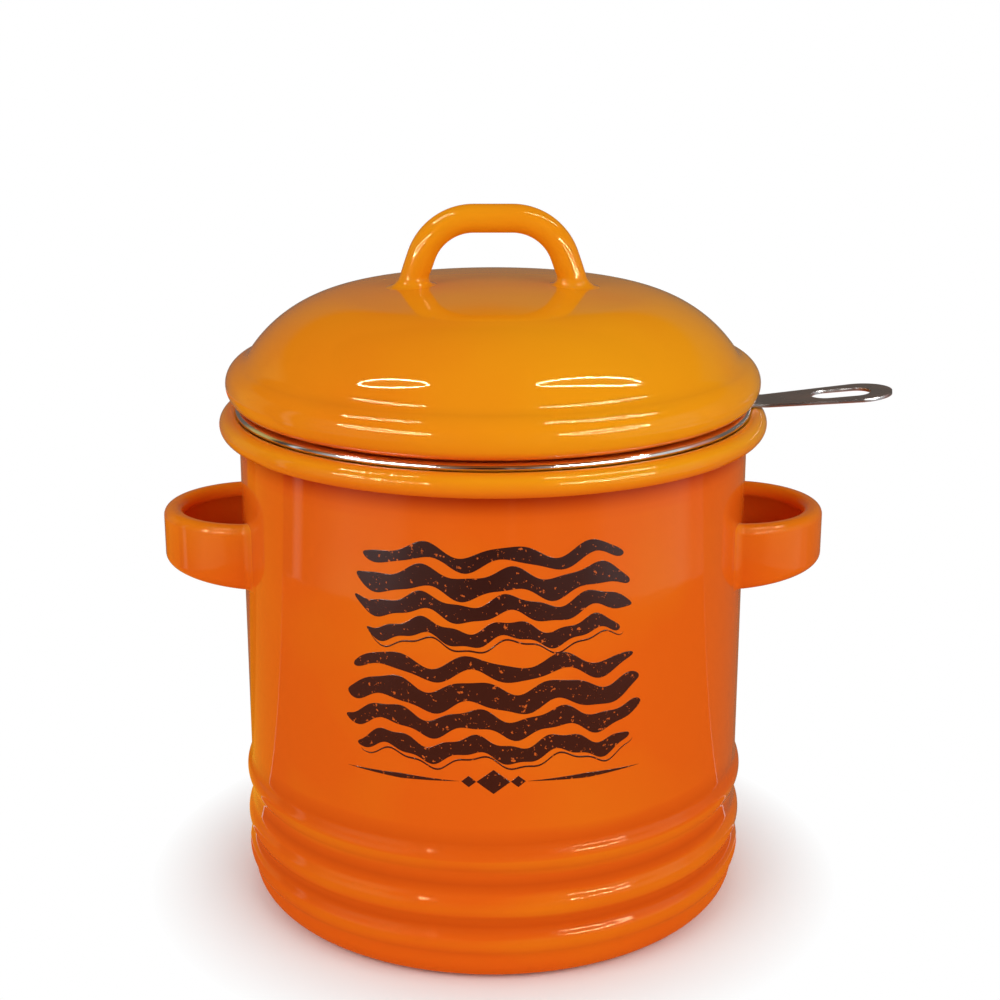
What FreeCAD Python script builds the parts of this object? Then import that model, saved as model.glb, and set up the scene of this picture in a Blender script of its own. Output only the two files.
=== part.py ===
import FreeCAD, Part
import math
import os

# Enamelled steel grease pot with a drop-in strainer and a lift-off lid.
# Millimetres, +Z up, origin at the middle of the pot's flat base, handles along X.
# Everything is drawn closed: the strainer hangs in the pot's rim and the lid sits on the strainer.

# Pot
body_diameter = 126.5          # outside of the plain wall
pot_height = 126.3             # base to the crown of the rolled rim
enamel_sheet = 0.9             # steel sheet with its enamel on both faces
rim_overhang = 4.8             # how far the rolled rim stands out from the wall
rim_curl_gap = 0.15            # slit left where the curl comes back to the wall
base_corner_radius = 6.2
rib_heights = (10.7, 19.8, 32.2)     # middle of each rolled bead above the base
rib_depths = (1.3, 1.3, 1.2)         # how far each bead stands out
rib_half_width = 4.4

# Side handles of the pot
grip_below_rim = 33.9          # middle of the grips, down from the crown of the rim
grip_reach = 20.25             # from the plain wall out to the grip's outer face
grip_half_width = 22.0         # half of the grip's width, measured across the pot
grip_root_band = 16.5          # height of the strap where it meets the wall
grip_outer_band = 14.2         # height of the strap where the fingers hold it
grip_channel_depth = 5.0       # how deep the strap is pressed
grip_channel_radius = 2.3
grip_lip = 3.1                 # how far the turned-in edges come round
grip_foot_radius = 2.2         # flare that spreads the strap onto the wall
grip_foot_stations = (80, 62, 44, 26, 10)                  # degrees round the flare
grip_bow_stations = (80, 60, 40, 20, 0, -20, -40, -60, -80)    # degrees round the bow

# Strainer
strainer_gap = 1.6             # between the strainer's wall and the pot's wall
strainer_sheet = 0.5
strainer_depth = 23.6          # flange top to the underside of the mesh seat
flange_inset = 1.0             # flange edge, measured in from the crown of the pot's rim
flange_edge_radius = 1.0
flange_neck_radius = 0.9
strainer_corner_radius = 5.0
mesh_seat_width = 3.8
mesh_thickness = 0.6
mesh_pitch = 5.0
mesh_wire = 1.1
clamp_ring_height = 5.9
seat_gap = 0.25                # left where loose pieces sit on each other

# Strainer handle
strap_thickness = 0.8
strap_root_width = 11.0
strap_tip_width = 17.0
strap_reach = 35.6             # beyond the flange edge
strap_rise = 5.0               # degrees above level
strap_leg = 9.0                # length of the leg welded down the strainer's wall
strap_bend_radius = 1.8
strap_over_rim = 0.2           # air between the strap and the crown of the rim
slot_length = 15.0
slot_width = 8.5
slot_from_tip = 5.2
strap_side_clearance = 0.3
weld_radius = 1.2
weld_stand = 0.35
weld_height = 1.8              # middle of the weld, up from the end of the leg

# Lid
skirt_clearance = 0.5          # between the lid's skirt and the inside of the strainer
skirt_depth = 10.3
skirt_hem_radius = 2.0
skirt_hem_end = 200            # degrees, where the hem's roll ends
skirt_root_radius = 0.7
lid_seat_width = 1.1           # flat between the skirt and the bead
lid_inset = 1.85               # bead's outer edge, measured in from the outer edge of the rim
dome_height = 23.4             # apex above the widest part of the bead
dome_shoulder_radius = 33.5    # its circle would reach as far out as the bead
dome_crown_radius = 318.0
dome_neck_radius = 1.6         # valley between the bead and the dome

# Lid handle
rod_diameter = 7.0
rod_rise = 19.3                # top of the rod above the dome's apex
rod_flat = 9.4                 # straight length along the top
rod_bend_radius = 13.6
rod_splay = 19.5               # degrees that the legs lean outwards
rod_foot_radius = 2.4
rod_foot_stations = (80, 60, 40, 20, 0)      # degrees round the spread foot

# Drawing
same_point = 1e-6              # ends nearer than this are joined without a straight

# Places that follow from the sizes above
body_radius = body_diameter / 2
pot_inner_radius = body_radius - enamel_sheet
rim_radius = body_radius + rim_overhang
rim_roll_radius = (rim_radius - pot_inner_radius) / 2
rim_roll_centre = (pot_inner_radius + rim_roll_radius, pot_height - rim_roll_radius)
grip_height = pot_height - grip_below_rim

strainer_radius = pot_inner_radius - strainer_gap
strainer_inner_radius = strainer_radius - strainer_sheet
flange_radius = rim_roll_centre[0] - flange_inset
strap_top = pot_height + strap_over_rim + strap_thickness
flange_top = strap_top + strainer_sheet
rim_under_flange = rim_roll_centre[1] + math.sqrt(rim_roll_radius ** 2 - flange_inset ** 2)
mesh_top = flange_top - strainer_depth
mesh_radius = strainer_radius - strainer_corner_radius - strainer_sheet
mesh_open_radius = mesh_radius - mesh_seat_width

lid_seat = flange_top + seat_gap
skirt_radius = strainer_inner_radius - skirt_clearance
bead_centre_radius = skirt_radius + lid_seat_width
lid_radius = rim_radius - lid_inset
bead_radius = lid_radius - bead_centre_radius
bead_height = lid_seat + bead_radius
dome_apex = bead_height + dome_height
rod_radius = rod_diameter / 2


def at(r, z):
    """A point of a profile: r outwards, z up."""
    return FreeCAD.Vector(r, 0, z)


def polar(centre, radius, angle):
    """The point of a profile at an angle, in degrees, round a centre."""
    turn = math.radians(angle)
    return at(centre[0] + radius * math.cos(turn), centre[1] + radius * math.sin(turn))


def heading(start, end):
    """The angle, in degrees, from one profile point to another."""
    return math.degrees(math.atan2(end[1] - start[1], end[0] - start[0]))


def skin(path, depth):
    """Edges of one face of a bent sheet.

    The path is a list of bends (centre, radius, start angle, end angle) joined by straights,
    and a bend of radius 0 is a plain end, whose angle points to the left of the path.  The
    face lies depth to that side.
    """
    edges = []
    last = None
    for centre, radius, start, end in path:
        bend_radius = radius - depth if end > start else radius + depth
        first = polar(centre, bend_radius, start)
        if last is not None and last.distanceToPoint(first) > same_point:
            edges.append(Part.makeLine(last, first))
        last = polar(centre, bend_radius, end)
        if start != end:
            middle = polar(centre, bend_radius, (start + end) / 2)
            edges.append(Part.Arc(first, middle, last).toShape())
    return edges


def closed_face(edges):
    return Part.Face(Part.Wire(Part.__sortEdges__(edges)))


def sheet_edges(path, thickness):
    """The whole outline of a sheet that follows the path: both faces and the two cut ends."""
    near = skin(path, 0)
    far = skin(path, thickness)
    return near + far + [
        Part.makeLine(near[0].firstVertex(True).Point, far[0].firstVertex(True).Point),
        Part.makeLine(near[-1].lastVertex(True).Point, far[-1].lastVertex(True).Point),
    ]


def sheet_section(path, thickness):
    """The cut face of a sheet that follows the path, with its thickness to the left."""
    return closed_face(sheet_edges(path, thickness))


def spun(face):
    """The face turned once round the pot's axis."""
    return face.revolve(FreeCAD.Vector(0, 0, 0), FreeCAD.Vector(0, 0, 1), 360)


def rib_bends(height, depth):
    """A rolled bead in the wall: out, round its crest and back, as three tangent bends."""
    tilt = 2 * math.degrees(math.atan2(depth, rib_half_width))
    bend = rib_half_width / math.sin(math.radians(tilt)) / 2
    return [
        ((body_radius + bend, height - rib_half_width), bend, 180, 180 - tilt),
        ((body_radius + depth - bend, height), bend, -tilt, tilt),
        ((body_radius + bend, height + rib_half_width), bend, 180 + tilt, 180),
    ]


def pot_shell():
    """Deep-drawn pot: flat base, ribbed wall and a rim curled outwards into a hollow roll."""
    corner = (body_radius - base_corner_radius, base_corner_radius)
    path = [((0, 0), 0, 90, 90), (corner, base_corner_radius, 270, 360)]
    for height, depth in zip(rib_heights, rib_depths):
        path += rib_bends(height, depth)
    back_at_wall = (body_radius + rim_curl_gap - rim_roll_centre[0]) / rim_roll_radius
    curl_end = math.degrees(math.acos(back_at_wall))
    path.append((rim_roll_centre, rim_roll_radius - enamel_sheet, 180, -curl_end))
    return spun(sheet_section(path, enamel_sheet))


def channel_wire(band, flare, place, outward):
    """The grip's pressed C section, standing across the strap at one place on its route.

    The section opens towards the pot, its web faces outwards, and flare spreads it outwards,
    up and down where it meets the wall.
    """
    radius = grip_channel_radius
    top = band / 2 + flare
    web = grip_channel_depth + flare
    lip = band / 2 - grip_lip
    path = [
        ((0, lip), 0, 180, 180),
        ((radius, top - radius), radius, 180, 90),
        ((web - radius, top - radius), radius, 90, 0),
        ((web - radius, radius - top), radius, 0, -90),
        ((radius, radius - top), radius, -90, -180),
        ((0, -lip), 0, 180, 180),
    ]
    wire = Part.Wire(Part.__sortEdges__(sheet_edges(path, -enamel_sheet)))
    wire.rotate(FreeCAD.Vector(0, 0, 0), FreeCAD.Vector(0, 0, 1), outward)
    wire.translate(place)
    return wire


def side_handle(turn):
    """A grip: a strap pressed to a C, bent to a D, spread at its feet and cut to the wall."""
    opening_half = grip_half_width - grip_channel_depth
    foot_x = math.sqrt(body_radius ** 2 - (grip_half_width + grip_foot_radius) ** 2)
    bow_x = body_radius + grip_reach - grip_half_width
    middle = grip_height - (grip_root_band - grip_outer_band) / 2
    arm = []
    for station in grip_foot_stations:
        into_flare = math.radians(station)
        run = grip_foot_radius * (1 - math.sin(into_flare))
        flare = grip_foot_radius * (1 - math.cos(into_flare))
        place = FreeCAD.Vector(foot_x + run, opening_half, grip_height)
        arm.append((grip_root_band, flare, place, 90))
    bow = []
    for angle in grip_bow_stations:
        reach = math.cos(math.radians(angle))
        side = math.sin(math.radians(angle))
        band = grip_root_band + (grip_outer_band - grip_root_band) * reach
        height = grip_height + (grip_root_band - band) / 2
        place = FreeCAD.Vector(bow_x + opening_half * reach, opening_half * side, height)
        bow.append((band, 0, place, angle))
    other_arm = []
    for band, flare, place, _ in reversed(arm):
        other_arm.append((band, flare, FreeCAD.Vector(place.x, -place.y, place.z), -90))
    wires = [channel_wire(*station) for station in arm + bow + other_arm]
    grip = Part.makeLoft(wires, True, False)
    wall = Part.makeCylinder(body_radius, pot_height)
    grip = grip.cut(wall)
    grip.rotate(FreeCAD.Vector(0, 0, 0), FreeCAD.Vector(0, 0, 1), turn)
    return grip


def strainer_bowl():
    """Spun strainer wall: edge turned down, flange, wall and a seat turned in for the mesh.

    The turned-down edge is notched where the handle's strap passes under the flange.
    """
    edge_centre = (flange_radius - flange_edge_radius, flange_top - flange_edge_radius)
    neck_centre = (strainer_inner_radius + flange_neck_radius, flange_top - flange_neck_radius)
    seat_top = mesh_top + strainer_sheet
    corner_centre = (strainer_inner_radius - strainer_corner_radius, seat_top + strainer_corner_radius)
    path = [
        ((flange_radius, rim_under_flange + seat_gap), 0, 180, 180),
        (edge_centre, flange_edge_radius, 0, 90),
        (neck_centre, flange_neck_radius, 90, 180),
        (corner_centre, strainer_corner_radius, 0, -90),
        ((mesh_open_radius, seat_top), 0, -90, -90),
    ]
    bowl = spun(sheet_section(path, strainer_sheet))
    notch_width = strap_root_width + 2 * strap_side_clearance
    notch_start = flange_radius - flange_edge_radius - strainer_sheet
    notch = Part.makeBox(
        flange_radius, notch_width, strap_top,
        FreeCAD.Vector(notch_start, -notch_width / 2, 0))
    return bowl.cut(notch)


def strainer_mesh():
    """The straining screen: crossed wires as one flat grid, solid only where it is clamped."""
    centre = FreeCAD.Vector(0, 0, mesh_top - mesh_thickness)
    openings = []
    hole = mesh_pitch - mesh_wire
    steps = int(mesh_open_radius / mesh_pitch) + 1
    for column in range(-steps, steps + 1):
        for row in range(-steps, steps + 1):
            x = column * mesh_pitch
            y = row * mesh_pitch
            corner_reach = math.hypot(abs(x) + hole / 2, abs(y) + hole / 2)
            if corner_reach < mesh_open_radius:
                corner = centre + FreeCAD.Vector(x - hole / 2, y - hole / 2, 0)
                openings.append(square_wire(corner, hole))
    rim = Part.Wire(Part.makeCircle(mesh_radius, centre))
    screen = Part.makeFace([rim] + openings, "Part::FaceMakerBullseye")
    return screen.extrude(FreeCAD.Vector(0, 0, mesh_thickness))


def square_wire(corner, side):
    steps = ((0, 0), (side, 0), (side, side), (0, side), (0, 0))
    return Part.makePolygon([corner + FreeCAD.Vector(x, y, 0) for x, y in steps])


def mesh_clamp_ring():
    """The ring pressed on round the bottom, which holds the screen up against its seat."""
    inner_corner = strainer_corner_radius + strainer_sheet
    bottom = mesh_top - mesh_thickness
    path = [
        ((strainer_radius, bottom + clamp_ring_height), 0, 0, 0),
        ((strainer_radius - inner_corner, bottom + inner_corner), inner_corner, 0, -90),
        ((mesh_open_radius, bottom), 0, -90, -90),
    ]
    return spun(sheet_section(path, strainer_sheet))


def strainer_handle():
    """Flat strap: slotted grip, straight root under the flange and a leg welded down the wall."""
    tip = flange_radius + strap_reach
    hinge_x = rim_radius
    lift = (tip - hinge_x) * math.tan(math.radians(strap_rise))
    bend_centre = (strainer_radius + strap_bend_radius, strap_top - strap_bend_radius)
    left_of_slope = 270 + strap_rise
    path = [
        ((tip, strap_top + lift), 0, left_of_slope, left_of_slope),
        ((hinge_x, strap_top), 0, 270, 270),
        (bend_centre, strap_bend_radius, 90, 180),
        ((strainer_radius, flange_top - strap_leg), 0, 0, 0),
    ]
    half_tip = strap_tip_width / 2
    strip = sheet_section(path, strap_thickness).extrude(FreeCAD.Vector(0, strap_tip_width, 0))
    strip.translate(FreeCAD.Vector(0, -half_tip, 0))
    plan = strap_plan(tip, half_tip)
    strap = strip.common(plan)
    wall = Part.makeCylinder(strainer_radius, pot_height)
    return strap.cut(wall).fuse(weld_spot())


def strap_plan(tip, half_tip):
    """The strap seen from above: narrow at the root, widening to a round tip with a long slot."""
    half_root = strap_root_width / 2
    start = FreeCAD.Vector(strainer_radius - strap_thickness, 0, 0)
    tip_centre = tip - half_tip
    corners = [
        FreeCAD.Vector(start.x, -half_root, 0),
        FreeCAD.Vector(rim_radius, -half_root, 0),
        FreeCAD.Vector(tip_centre, -half_tip, 0),
        FreeCAD.Vector(tip_centre, half_tip, 0),
        FreeCAD.Vector(rim_radius, half_root, 0),
        FreeCAD.Vector(start.x, half_root, 0),
    ]
    edges = [Part.makeLine(a, b) for a, b in zip(corners[:2], corners[1:3])]
    edges.append(Part.Arc(corners[2], FreeCAD.Vector(tip, 0, 0), corners[3]).toShape())
    edges += [Part.makeLine(a, b) for a, b in zip(corners[3:5], corners[4:])]
    edges.append(Part.makeLine(corners[5], corners[0]))
    outline = closed_face(edges)
    slot_end = tip - slot_from_tip - slot_width / 2
    slot_start = slot_end - (slot_length - slot_width)
    slot = slot_face(slot_start, slot_end, slot_width / 2)
    beyond_strap = 2 * strap_top
    return outline.cut(slot).extrude(FreeCAD.Vector(0, 0, beyond_strap))


def slot_face(start, end, radius):
    """A round-ended slot lying along X."""
    near = FreeCAD.Vector(start, -radius, 0)
    far = FreeCAD.Vector(end, -radius, 0)
    far_back = FreeCAD.Vector(end, radius, 0)
    near_back = FreeCAD.Vector(start, radius, 0)
    return closed_face([
        Part.makeLine(near, far),
        Part.Arc(far, FreeCAD.Vector(end + radius, 0, 0), far_back).toShape(),
        Part.makeLine(far_back, near_back),
        Part.Arc(near_back, FreeCAD.Vector(start - radius, 0, 0), near).toShape(),
    ])


def weld_spot():
    """The low round knob of weld near the foot of the leg."""
    face_x = strainer_radius + strap_thickness
    height = flange_top - strap_leg + weld_height
    dome = (weld_radius ** 2 + weld_stand ** 2) / (2 * weld_stand)
    ball = Part.makeSphere(dome, FreeCAD.Vector(face_x + weld_stand - dome, 0, height))
    outside = Part.makeBox(
        dome, 2 * dome, 2 * dome, FreeCAD.Vector(face_x, -dome, height - dome))
    return ball.common(outside)


def lid_bends():
    """The lid's outer face, from the hem of its skirt to the top of its dome."""
    hem_centre = (skirt_radius - skirt_hem_radius, lid_seat - skirt_depth + skirt_hem_radius)
    root_centre = (skirt_radius + skirt_root_radius, lid_seat - skirt_root_radius)
    bead_centre = (bead_centre_radius, bead_height)
    crown_centre = (0, dome_apex - dome_crown_radius)
    shoulder_x = lid_radius - dome_shoulder_radius
    shoulder_drop = math.sqrt((dome_crown_radius - dome_shoulder_radius) ** 2 - shoulder_x ** 2)
    shoulder_centre = (shoulder_x, crown_centre[1] + shoulder_drop)
    neck_centre = touching_both(
        bead_centre, bead_radius + dome_neck_radius,
        shoulder_centre, dome_shoulder_radius + dome_neck_radius)
    up_bead = heading(bead_centre, neck_centre)
    up_dome = heading(shoulder_centre, neck_centre)
    over_dome = heading(crown_centre, shoulder_centre)
    return [
        (hem_centre, skirt_hem_radius, skirt_hem_end, 360),
        (root_centre, skirt_root_radius, 180, 90),
        (bead_centre, bead_radius, -90, up_bead),
        (neck_centre, dome_neck_radius, up_bead + 180, up_dome + 180),
        (shoulder_centre, dome_shoulder_radius, up_dome, over_dome),
        (crown_centre, dome_crown_radius, over_dome, 90),
    ]


def touching_both(first, first_reach, second, second_reach):
    """The upper of the two points at the given distances from two centres."""
    apart = math.hypot(second[0] - first[0], second[1] - first[1])
    along = (first_reach ** 2 - second_reach ** 2 + apart ** 2) / (2 * apart)
    aside = math.sqrt(first_reach ** 2 - along ** 2)
    unit = ((second[0] - first[0]) / apart, (second[1] - first[1]) / apart)
    base = (first[0] + along * unit[0], first[1] + along * unit[1])
    one = (base[0] + aside * unit[1], base[1] - aside * unit[0])
    other = (base[0] - aside * unit[1], base[1] + aside * unit[0])
    return max(one, other, key=lambda point: point[1])


def lid_shell():
    """Pressed lid: hemmed skirt, seat, rounded bead, valley and a full dome."""
    return spun(sheet_section(lid_bends(), enamel_sheet))


def lid_block():
    """Everything under the lid's outer face, to cut the handle's feet to the dome."""
    edges = skin(lid_bends()[2:], 0)
    low = edges[0].firstVertex(True).Point
    edges += [
        Part.makeLine(at(0, low.z), low),
        Part.makeLine(at(0, low.z), at(0, dome_apex)),
    ]
    return spun(closed_face(edges))


def lid_handle():
    """Round rod bent to an arch with leaning legs, spread at its feet and welded to the dome."""
    top = dome_apex + rod_rise - rod_radius
    turn = 90 - rod_splay
    corner = (rod_flat / 2, top - rod_bend_radius)
    leg_start = polar(corner, rod_bend_radius, 90 - turn)
    lean = math.radians(rod_splay)
    down_leg = FreeCAD.Vector(math.sin(lean), 0, -math.cos(lean))
    leg_length = leg_start.z - dome_apex + 2 * rod_foot_radius
    leg_end = leg_start + down_leg * (leg_length / math.cos(lean))
    half_route = [
        Part.makeLine(at(0, top), at(rod_flat / 2, top)),
        Part.Arc(
            at(rod_flat / 2, top),
            polar(corner, rod_bend_radius, 90 - turn / 2),
            leg_start).toShape(),
        Part.makeLine(leg_start, leg_end),
    ]
    section = Part.Wire(Part.makeCircle(rod_radius, at(0, top), FreeCAD.Vector(1, 0, 0)))
    half = Part.Wire(half_route).makePipeShell([section], True, False)
    half = half.fuse(rod_foot(leg_start, math.tan(lean)))
    arch = half.fuse(half.mirror(FreeCAD.Vector(0, 0, 0), FreeCAD.Vector(1, 0, 0)))
    return arch.cut(lid_block()).removeSplitter()


def rod_foot(leg_start, lean):
    """The spread foot of one leg: level rounds down the leaning leg, widening to the dome."""
    rounds = []
    landing_x = leg_start.x + (leg_start.z - dome_apex) * lean
    landing_z = dome_apex - dome_crown_radius + math.sqrt(dome_crown_radius ** 2 - landing_x ** 2)
    long_radius = rod_radius * math.hypot(1, lean)
    buried = (-rod_foot_radius, rod_foot_radius)
    spread = [buried]
    for station in rod_foot_stations:
        angle = math.radians(station)
        above_dome = rod_foot_radius * (1 - math.sin(angle))
        growth = rod_foot_radius * (1 - math.cos(angle))
        spread.append((above_dome, growth))
    for height, growth in spread:
        z = landing_z + height
        middle = at(leg_start.x + (leg_start.z - z) * lean, z)
        outline = Part.Ellipse(middle, long_radius + growth, rod_radius + growth)
        rounds.append(Part.Wire(outline.toShape()))
    return Part.makeLoft(rounds, True, False)


def write_parts():
    """One STEP file for each separate piece."""
    pieces = {
        "pot_shell": pot_shell(),
        "right_side_handle": side_handle(0),
        "left_side_handle": side_handle(180),
        "strainer_bowl": strainer_bowl(),
        "strainer_mesh": strainer_mesh(),
        "mesh_clamp_ring": mesh_clamp_ring(),
        "strainer_handle": strainer_handle(),
        "lid_shell": lid_shell(),
        "lid_handle": lid_handle(),
    }
    os.makedirs("parts", exist_ok=True)
    for name, shape in pieces.items():
        shape.exportStep("parts/" + name + ".step")
        print(name, shape.isValid(), len(shape.Solids), round(shape.Volume, 1))


write_parts()
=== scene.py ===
import math

import bmesh
import bpy
import numpy as np
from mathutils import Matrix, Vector


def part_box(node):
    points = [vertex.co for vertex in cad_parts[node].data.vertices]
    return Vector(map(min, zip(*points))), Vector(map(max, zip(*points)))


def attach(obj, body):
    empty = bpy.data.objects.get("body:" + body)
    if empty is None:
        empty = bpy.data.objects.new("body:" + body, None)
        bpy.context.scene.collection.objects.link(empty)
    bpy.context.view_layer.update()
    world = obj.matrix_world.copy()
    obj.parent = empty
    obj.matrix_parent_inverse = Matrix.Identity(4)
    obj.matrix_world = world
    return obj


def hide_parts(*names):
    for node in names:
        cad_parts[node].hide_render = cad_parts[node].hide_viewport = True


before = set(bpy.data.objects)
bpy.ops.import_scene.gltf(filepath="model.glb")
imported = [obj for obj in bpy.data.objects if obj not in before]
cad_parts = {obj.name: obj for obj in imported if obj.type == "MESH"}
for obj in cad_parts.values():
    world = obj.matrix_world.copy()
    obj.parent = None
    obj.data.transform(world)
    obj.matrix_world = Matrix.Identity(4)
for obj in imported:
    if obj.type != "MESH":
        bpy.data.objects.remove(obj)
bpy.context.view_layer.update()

# ---- Studio ---------------------------------------------------------------------------------
# A white table that runs into a white background, as a product is shown for sale.  Three soft
# boxes light the pot.  Oval tube lamps, cards and cloths, which only gloss sees, give the
# enamel its streaks and its depth, and the steel its bands.
MM = 0.001


def linear(code):
    """An sRGB hex code as linear red, green, blue and alpha."""
    parts = [int(code[i:i + 2], 16) / 255 for i in (1, 3, 5)]
    return [p / 12.92 if p <= 0.04045 else ((p + 0.055) / 1.055) ** 2.4 for p in parts] + [1]


def add(tree, kind, inputs=None, **settings):
    """Adds one node; inputs maps each socket to a plain value or to the output that feeds it."""
    node = tree.nodes.new("ShaderNode" + kind)
    for name, value in settings.items():
        setattr(node, name, value)
    for name, value in (inputs or {}).items():
        if isinstance(value, bpy.types.NodeSocket):
            tree.links.new(value, node.inputs[name])
        else:
            node.inputs[name].default_value = value
    return node


def material(name):
    """An empty node material, its tree and its output node."""
    made = bpy.data.materials.new(name)
    made.use_nodes = True
    tree = made.node_tree
    tree.nodes.clear()
    return made, tree, add(tree, "OutputMaterial")


def seen_direct(tree):
    """1 for camera, glossy and transmission rays, so that metal and glass show the background."""
    rays = add(tree, "LightPath")
    either = add(tree, "Math", {0: rays.outputs["Is Camera Ray"], 1: rays.outputs["Is Glossy Ray"]},
                 operation="MAXIMUM")
    return add(tree, "Math", {0: either.outputs[0], 1: rays.outputs["Is Transmission Ray"]},
               operation="MAXIMUM").outputs[0]


background_white = linear("#ffffff")
room_fill = 0.60
world = bpy.data.worlds.new("white_studio")
world.use_nodes = True
sky = world.node_tree
sky.nodes.clear()
shown = add(sky, "Background", {"Color": background_white, "Strength": 1.0})
given = add(sky, "Background", {"Color": background_white, "Strength": room_fill})
sky_mix = add(sky, "MixShader", {0: seen_direct(sky), 1: given.outputs[0], 2: shown.outputs[0]})
add(sky, "OutputWorld", {"Surface": sky_mix.outputs[0]})
bpy.context.scene.world = world

table_half = 3.0
shadow_reach = 0.063
fade_length = 0.028
table_mesh = bpy.data.meshes.new("table_top")
table_mesh.from_pydata(
    [(-table_half, -table_half, 0), (table_half, -table_half, 0),
     (table_half, table_half, 0), (-table_half, table_half, 0)], [], [(0, 1, 2, 3)])
table_top = bpy.data.objects.new("table_top", table_mesh)
bpy.context.scene.collection.objects.link(table_top)
white_laminate, tree, out = material("white_laminate")
place = add(tree, "TexCoord").outputs["Object"]
from_axis = add(tree, "VectorMath", {0: place}, operation="LENGTH").outputs["Value"]
fade = add(tree, "MapRange", {"Value": from_axis, "From Min": shadow_reach,
                              "From Max": shadow_reach + fade_length})
fade_seen = add(tree, "Math", {0: fade.outputs[0], 1: seen_direct(tree)}, operation="MULTIPLY")
laminate = add(tree, "BsdfDiffuse", {"Color": linear("#f9f9f8")})
glow = add(tree, "Emission", {"Color": background_white, "Strength": 1.0})
table_mix = add(tree, "MixShader", {0: fade_seen.outputs[0], 1: laminate.outputs[0],
                                    2: glow.outputs[0]})
tree.links.new(table_mix.outputs[0], out.inputs["Surface"])
table_mesh.materials.append(white_laminate)


def toward(azimuth, elevation, distance):
    """The place at that distance from the pot: azimuth 0 is in front, 90 to the right."""
    a, e = math.radians(azimuth), math.radians(elevation)
    return Vector((math.sin(a) * math.cos(e), -math.cos(a) * math.cos(e), math.sin(e))) * distance


def flat_glow(name, code, strength=1.0):
    """A surface that gives off one even colour."""
    made, tree, out = material(name)
    glow = add(tree, "Emission", {"Color": linear(code), "Strength": strength})
    tree.links.new(glow.outputs[0], out.inputs["Surface"])
    return made


def reflected_only(name, points, faces, shade):
    """A stand or card that shows in gloss alone: it lights nothing and shades nothing."""
    mesh = bpy.data.meshes.new(name)
    mesh.from_pydata(points, [], faces)
    mesh.materials.append(shade)
    made = bpy.data.objects.new(name, mesh)
    bpy.context.scene.collection.objects.link(made)
    made.visible_camera = made.visible_diffuse = made.visible_shadow = False


lamp_distance = 1.3
oval_steps = 64


def soft_box(name, azimuth, elevation, wide, high, radiance):
    """A rectangular lamp facing the pot; gloss shows the ovals below in its place."""
    lamp = bpy.data.lights.new(name, "AREA")
    lamp.shape, lamp.size, lamp.size_y = "RECTANGLE", wide, high
    lamp.energy = radiance * math.pi * wide * high
    stand = bpy.data.objects.new(name, lamp)
    bpy.context.scene.collection.objects.link(stand)
    stand.location = toward(azimuth, elevation, lamp_distance)
    stand.rotation_euler = (-stand.location).to_track_quat("-Z", "Y").to_euler()
    stand.visible_glossy = False


def ring_lamp(name, start, end, tall, border, distance=lamp_distance, height=0.0):
    """A flat oval between two directions: a bright tube round a faint diffuser.

    At angle t the tube runs at middle + half length cos t along + half height sin t up.
    """
    first, last = toward(*start, distance), toward(*end, distance)
    along = (last - first) / 2
    rise = along.normalized().cross(-(first + last)).normalized() * tall / 2
    middle = (first + last) / 2 + Vector((0, 0, height))
    inner = (1 - border / along.length, 1 - 2 * border / tall)
    turns = np.linspace(0, 2 * np.pi, oval_steps, endpoint=False)
    points = [middle + along * math.cos(t) * wide + rise * math.sin(t) * high
              for wide, high in ((1, 1), inner) for t in turns]
    faces = [(k, (k + 1) % oval_steps, oval_steps + (k + 1) % oval_steps, oval_steps + k)
             for k in range(oval_steps)]
    reflected_only(name + "_tube", points, faces, tube_glow)
    reflected_only(name + "_middle", points[oval_steps:], [tuple(range(oval_steps))], diffuser_glow)


# Each soft box has its azimuth, elevation, width, height and radiance; each oval the directions
# of its two ends, its height and the thickness of its tube.
soft_box("left_soft_box", -50, 36, 0.70, 0.60, 2.4)
soft_box("right_soft_box", 46, 36, 0.95, 0.60, 2.4)
soft_box("low_front_fill", 0, 7, 1.20, 0.16, 1.6)
tube_glow = flat_glow("ring_tube", "#fff6ee", 150.0)
diffuser_glow = flat_glow("ring_diffuser", "#fff4f0", 0.35)
near_distance = 0.60
near_height = 0.16
ring_lamp("left_upper", (-84, 51), (-50, 66), 0.15, 0.016)
ring_lamp("right_upper", (36, 69), (90, 47), 0.15, 0.016)
ring_lamp("left_lower", (-64, 11), (-24, 11), 0.10, 0.011, near_distance, near_height)
ring_lamp("right_lower", (25, 8), (64, 8), 0.11, 0.011, near_distance, near_height)

# Round the table stand cards, flags and drapes, each running softly into the next, with a warm
# pelmet above them and cloths and strips at their foot.  Each stop is an azimuth and the shade
# there; each cloth has its first and last azimuth and its colour.
far_start, band_distance = 0.32, 0.65
band_heights = (0.38, 0.44, 0.75)
pelmet_rows = 2
pelmet_shade = "#a85a22"
band_shades = {"wall": "#6b655f", "brass": "#c1b16c", "black": "#171310", "dark": "#453f3b",
               "grey": "#8b8580", "white": "#dfe7ec", "rose": "#d3958a"}
band_stops = ((-180, "wall"), (-133, "wall"), (-122, "brass"), (-107, "brass"), (-103, "dark"),
              (-94, "dark"), (-91, "white"), (-89, "white"), (-86, "dark"), (-80, "wall"),
              (-62, "white"), (-42, "white"), (-33, "grey"), (-24, "grey"), (-8, "black"),
              (4, "black"), (7, "grey"), (10, "dark"), (13, "dark"), (18, "grey"), (36, "grey"),
              (48, "white"), (84, "white"), (92, "rose"), (98, "rose"), (111, "wall"),
              (180, "wall"))
cloths = ((-165, -138, "#8f6f52"), (-138, -126, "#d08a18"), (-126, -100, "#f0a830"),
          (100, 165, "#8f6f52"), (165, 195, "#54463a"))
cloth_start, cloth_end = 0.0605, 0.505
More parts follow.
